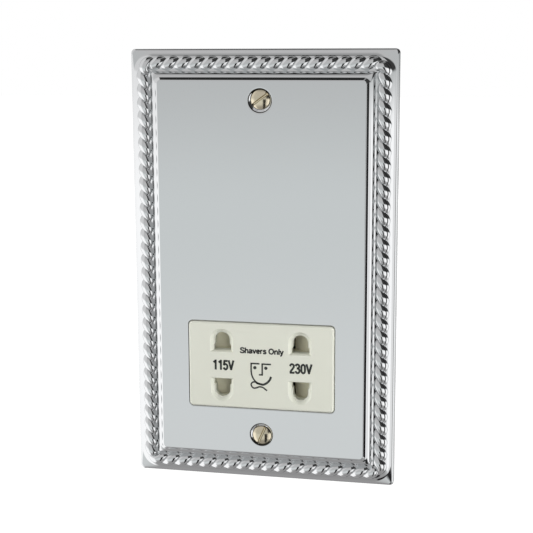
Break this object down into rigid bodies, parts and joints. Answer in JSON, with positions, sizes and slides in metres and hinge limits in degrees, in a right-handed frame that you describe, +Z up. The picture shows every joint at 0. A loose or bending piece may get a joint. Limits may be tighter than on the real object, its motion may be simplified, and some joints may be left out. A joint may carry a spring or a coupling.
{
  "type": "shaver socket",
  "caption": "Dual-voltage shaver socket on a portrait two-gang plate with a rope border, with a sliding interlock shutter behind its pin apertures.",
  "frame": {"origin": "midway between the two fixing screws, on the wall plane", "axes": "+Z up, +X to the right as seen from the front, the front faces -Y and the unit behind the wall lies towards +Y"},
  "size_m": [0.095, 0.0431, 0.155],
  "materials": {
    "chrome_plate": "polished chrome plate on brass",
    "nickel_screw": "nickel-plated steel",
    "white_moulding": "moulded white",
    "shutter_moulding": "moulded grey",
    "housing_moulding": "moulded off-white",
    "carrier_moulding": "moulded black phenolic",
    "bobbin_moulding": "moulded nylon",
    "insulation": "pressed fibre sheet",
    "cutout_case": "moulded black",
    "winding_wire": "enamelled copper wire",
    "winding_tape": "yellow polyester tape",
    "core_steel": "silicon steel laminations",
    "strap_steel": "zinc-plated steel",
    "spring_bronze": "phosphor bronze strip",
    "terminal_brass": "bright brass",
    "terminal_screw": "zinc-plated steel",
    "lead_brown": "brown insulation",
    "lead_blue": "blue insulation",
    "lead_white": "white insulation",
    "lead_red": "red insulation"
  },
  "bodies": {
    "root": {"front_plate": "chrome_plate", "fixing_screws": "nickel_screw", "socket_insert": "white_moulding", "rear_housing": "housing_moulding", "contact_carrier": "carrier_moulding", "bobbin": "bobbin_moulding", "insulation_sheet": "insulation", "thermal_cutout": "cutout_case", "primary_winding": "winding_wire", "secondary_winding": "winding_wire", "primary_tape": "winding_tape", "secondary_tape": "winding_tape", "core_e_stack": "core_steel", "core_i_stack": "core_steel", "core_strap": "strap_steel", "contact_115v_upper": "spring_bronze", "contact_115v_lower": "spring_bronze", "contact_230v_upper": "spring_bronze", "contact_230v_lower": "spring_bronze", "switch_rail_supply": "spring_bronze", "switch_rail_load": "spring_bronze", "shutter_spring_left": "spring_bronze", "shutter_spring_right": "spring_bronze", "terminal_live": "terminal_brass", "terminal_neutral": "terminal_brass", "terminal_earth": "terminal_brass", "earth_strap": "terminal_brass", "common_bar": "terminal_brass", "plate_lugs": "terminal_brass", "terminal_screws": "terminal_screw", "lead_live": "lead_brown", "lead_switched": "lead_brown", "lead_neutral": "lead_blue", "lead_common": "lead_white", "lead_115v": "lead_red", "lead_230v": "lead_red"},
    "shutter": {"shutter_slide": "shutter_moulding", "bridge_contact": "spring_bronze"}
  },
  "joints": [
    {"name": "shutter_slide", "type": "slide", "parent": "root", "child": "shutter", "axis": [1, 0, 0], "range_m": [-0.0064, 0.0064], "stiffness_N_per_m": 150, "deforming": ["shutter_spring_left", "shutter_spring_right"]}
  ]
}
